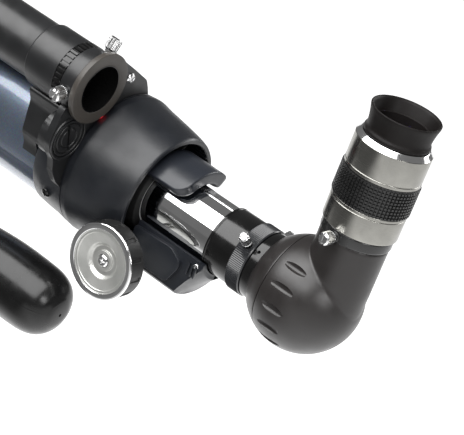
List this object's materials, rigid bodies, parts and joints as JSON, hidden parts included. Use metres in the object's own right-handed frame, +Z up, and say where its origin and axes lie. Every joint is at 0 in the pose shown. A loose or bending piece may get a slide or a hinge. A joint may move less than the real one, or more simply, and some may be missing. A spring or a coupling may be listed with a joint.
{
  "type": "refractor telescope",
  "caption": "Small refractor telescope: long tube with lens cell and dew shield, rack focuser, erecting diagonal, eyepiece, red-dot finder and pan head with handle.",
  "frame": {"origin": "mouth of the tripod socket, on the pan axis, in the underside of the head", "axes": "+Y from the objective towards the eyepiece end along the tube, +Z up along the pan axis, +X to the telescope's left"},
  "size_m": [0.1141, 0.9656, 0.2601],
  "materials": {
    "tube_paint": "gloss",
    "matt_black": "matt",
    "cell_plastic": "satin",
    "housing_plastic": "satin",
    "finder_plastic": "satin",
    "optical_glass": "polished",
    "plated_steel": "polished",
    "slide_liner": "matt",
    "black_anodised": "satin",
    "red_led": "gloss",
    "mirror_chrome": "mirror",
    "rack_brass": "machined",
    "gloss_black": "gloss",
    "satin_silver": "satin",
    "rubber": "matt",
    "diagonal_plastic": "satin",
    "gunmetal": "satin",
    "head_paint": "satin",
    "handle_plastic": "satin"
  },
  "bodies": {
    "head_base": {"head_base": "head_paint"},
    "yoke": {"head_yoke": "head_paint"},
    "azimuth_lock": {"azimuth_lock_knob": "handle_plastic"},
    "tilt_head": {"tilt_platform": "head_paint", "altitude_pin": "plated_steel"},
    "clamp": {"clamp_knob": "handle_plastic"},
    "pan_handle": {"handle_rod": "plated_steel", "handle_grip": "handle_plastic"},
    "optical_tube": {"main_tube": "tube_paint", "tube_baffles": "matt_black", "front_cell": "cell_plastic", "dew_shield": "tube_paint", "crown_lens": "optical_glass", "flint_lens": "optical_glass", "lens_spacer": "plated_steel", "lens_retainer": "cell_plastic", "rear_cell": "cell_plastic", "focuser_housing": "housing_plastic", "pinion_cap": "plated_steel", "drawtube_liner": "slide_liner", "dovetail_bar": "black_anodised", "housing_screws": "plated_steel", "finder_bracket": "finder_plastic", "coin_cell": "plated_steel", "finder_led": "red_led"},
    "drawtube": {"drawtube": "mirror_chrome", "drawtube_rack": "rack_brass", "drawtube_key": "plated_steel", "drawtube_collar": "gloss_black", "adapter_ring": "housing_plastic"},
    "adapter_screw_left": {"adapter_screw_left": "plated_steel"},
    "adapter_screw_right": {"adapter_screw_right": "plated_steel"},
    "pinion": {"pinion_shaft": "plated_steel", "knob_left_disc": "satin_silver", "knob_left_grip": "rubber", "knob_right_disc": "satin_silver", "knob_right_grip": "rubber", "knob_screws": "plated_steel"},
    "diagonal": {"diagonal_nose": "gloss_black", "diagonal_front_shell": "diagonal_plastic", "diagonal_rear_shell": "diagonal_plastic", "diagonal_socket": "diagonal_plastic", "diagonal_prism": "optical_glass"},
    "diagonal_screw": {"diagonal_screw": "plated_steel"},
    "eyepiece": {"eyepiece_barrel": "mirror_chrome", "eyepiece_body": "gunmetal", "eyepiece_grip": "rubber", "eyepiece_crown": "gunmetal", "eyecup": "rubber", "field_lens": "optical_glass", "eye_lens": "optical_glass", "eyepiece_spacer": "matt_black"},
    "finder": {"finder_tube": "finder_plastic", "finder_window": "optical_glass"},
    "finder_dial": {"finder_dial": "rubber"},
    "finder_screw_left": {"finder_screw_left": "plated_steel"},
    "finder_screw_right": {"finder_screw_right": "plated_steel"},
    "battery_cover": {"battery_cover": "finder_plastic"}
  },
  "joints": [
    {"name": "azimuth", "type": "hinge", "parent": "head_base", "child": "yoke", "pos_m": [0, 0, 0.03], "axis": [0, 0, 1], "continuous": true},
    {"name": "azimuth_lock_turn", "type": "hinge", "parent": "yoke", "child": "azimuth_lock", "pos_m": [0, 0, 0.03015], "axis": [-1, 0, 0], "range_deg": [-360, 0]},
    {"name": "altitude", "type": "hinge", "parent": "yoke", "child": "tilt_head", "pos_m": [0, 0, 0.058], "axis": [-1, 0, 0], "range_deg": [-15, 75]},
    {"name": "clamp_turn", "type": "hinge", "parent": "tilt_head", "child": "clamp", "pos_m": [0, 0, 0.1025], "axis": [-1, 0, 0], "range_deg": [-360, 0]},
    {"name": "handle_twist", "type": "hinge", "parent": "tilt_head", "child": "pan_handle", "pos_m": [0.045, 0, 0.082], "axis": [0, 1, 0], "range_deg": [-180, 0]},
    {"name": "dovetail_slide", "type": "slide", "parent": "tilt_head", "child": "optical_tube", "axis": [0, 1, 0], "range_m": [-0.03, 0.03]},
    {"name": "focus", "type": "slide", "parent": "optical_tube", "child": "drawtube", "axis": [0, 1, 0], "range_m": [-0.01, 0.06]},
    {"name": "focus_knob", "type": "hinge", "parent": "optical_tube", "child": "pinion", "pos_m": [0, 0.293, 0.1239], "axis": [1, 0, 0], "range_deg": [-620, 110]},
    {"name": "adapter_screw_left_turn", "type": "hinge", "parent": "drawtube", "child": "adapter_screw_left", "pos_m": [0.0166, 0.3503, 0.16443], "axis": [0.7547, 0, 0.6561], "range_deg": [0, 360]},
    {"name": "adapter_screw_right_turn", "type": "hinge", "parent": "drawtube", "child": "adapter_screw_right", "pos_m": [-0.0208, 0.3503, 0.15716], "axis": [-0.9455, 0, 0.3256], "range_deg": [0, 360]},
    {"name": "diagonal_swivel", "type": "hinge", "parent": "drawtube", "child": "diagonal", "pos_m": [0, 0.35, 0.15], "axis": [0, 1, 0], "continuous": true},
    {"name": "diagonal_screw_turn", "type": "hinge", "parent": "diagonal", "child": "diagonal_screw", "pos_m": [0.02195, 0.39406, 0.1948], "axis": [0.9976, -0.0698, 0], "range_deg": [0, 360]},
    {"name": "eyepiece_draw", "type": "slide", "parent": "diagonal", "child": "eyepiece", "axis": [0, 0, 1], "range_m": [0, 0.022]},
    {"name": "finder_aim", "type": "hinge", "parent": "optical_tube", "child": "finder", "pos_m": [0.02593, 0.23, 0.1838], "axis": [0.7934, 0, -0.6088], "range_deg": [-1.2, 1.2]},
    {"name": "finder_screw_left_turn", "type": "hinge", "parent": "finder", "child": "finder_screw_left", "pos_m": [0.05967, 0.2465, 0.19731], "axis": [0.9863, 0, -0.165], "range_deg": [0, 360]},
    {"name": "finder_screw_right_turn", "type": "hinge", "parent": "finder", "child": "finder_screw_right", "pos_m": [0.03025, 0.2465, 0.21988], "axis": [-0.4147, 0, 0.91], "range_deg": [0, 360]},
    {"name": "finder_dial_turn", "type": "hinge", "parent": "finder", "child": "finder_dial", "pos_m": [0.03896, 0.2393, 0.20078], "axis": [0, 1, 0], "range_deg": [0, 300]},
    {"name": "battery_cover_turn", "type": "hinge", "parent": "optical_tube", "child": "battery_cover", "pos_m": [0.04636, 0.248, 0.17165], "axis": [0, 1, 0], "range_deg": [0, 60]}
  ],
  "couplings": [
    {"joint": "focus_knob", "follows": "focus", "rad_per_m": -178.57}
  ]
}
